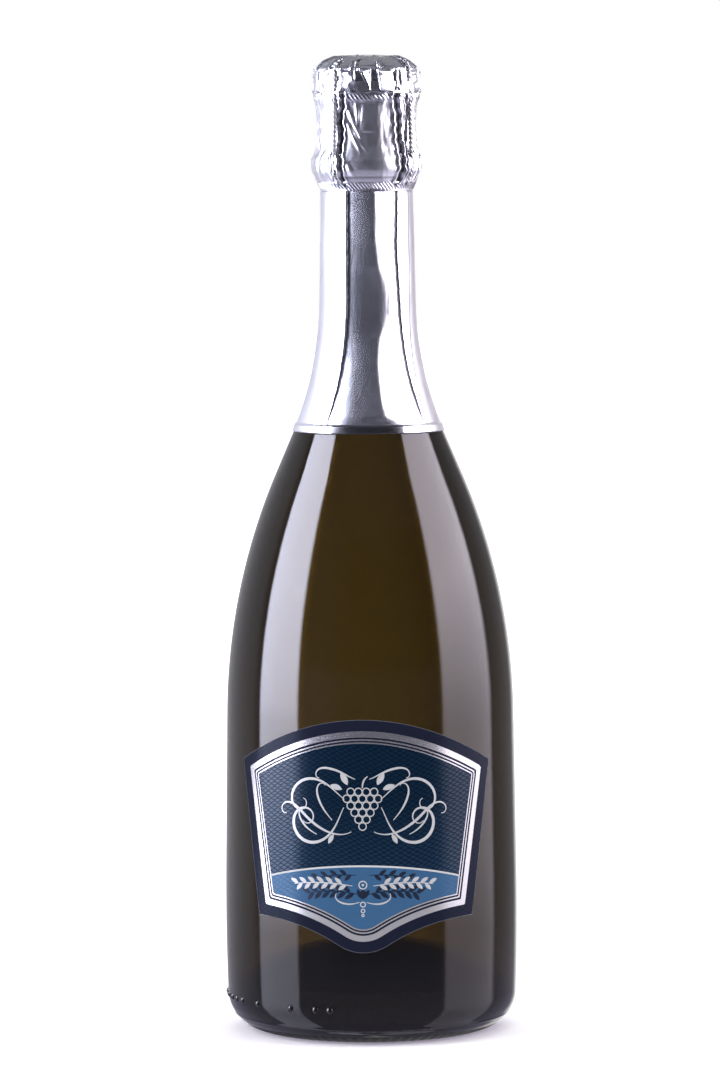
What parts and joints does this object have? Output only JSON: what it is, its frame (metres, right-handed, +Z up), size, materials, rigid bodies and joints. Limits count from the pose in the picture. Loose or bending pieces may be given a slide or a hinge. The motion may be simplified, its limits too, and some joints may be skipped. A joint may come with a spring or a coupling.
{
  "type": "sparkling wine bottle",
  "caption": "Filled glass bottle with a mushroom cork, a wire cage with pull loop, a pleated foil and a shield-shaped front label.",
  "frame": {"origin": "centre of the ring that the bottle stands on", "axes": "+Z up along the bottle's axis, -Y towards the middle of the label, +X to the right when the label is read"},
  "size_m": [0.0916, 0.0917, 0.3049],
  "materials": {
    "glass": "gloss",
    "wine": "gloss",
    "label_paper": "satin",
    "foil": "polished",
    "agglomerated_cork": "matte",
    "natural_cork": "matte",
    "cap_metal": "satin",
    "wire": "satin"
  },
  "bodies": {
    "bottle": {"glass_bottle": "glass", "sparkling_wine": "wine", "front_label": "label_paper", "foil_skirt": "foil"},
    "stopper": {"cork_body": "agglomerated_cork", "cork_disc_upper": "natural_cork", "cork_disc_lower": "natural_cork"},
    "cage": {"cap_plaque": "cap_metal", "cage_frame": "wire", "cage_belt": "wire"},
    "pull_loop": {"cage_pull_loop": "wire"},
    "hood": {"foil_hood": "foil", "foil_top_disc": "foil"}
  },
  "joints": [
    {"name": "cork_lift", "type": "slide", "parent": "bottle", "child": "stopper", "axis": [0, 0, 1], "range_m": [0, 0.045]},
    {"name": "cage_lift", "type": "slide", "parent": "stopper", "child": "cage", "axis": [0, 0, 1], "range_m": [0, 0.045], "deforming": ["cage_frame", "cage_belt"]},
    {"name": "hood_lift", "type": "slide", "parent": "cage", "child": "hood", "axis": [0, 0, 1], "range_m": [0, 0.05], "deforming": ["foil_hood"]},
    {"name": "loop_swing", "type": "hinge", "parent": "cage", "child": "pull_loop", "pos_m": [-0.00361, 0.01697, 0.2653], "axis": [-0.9781, -0.2079, 0], "range_deg": [0, 100]}
  ],
  "couplings": [
    {"joint": "loop_swing", "follows": "hood_lift", "rad_per_m": 34.9}
  ]
}
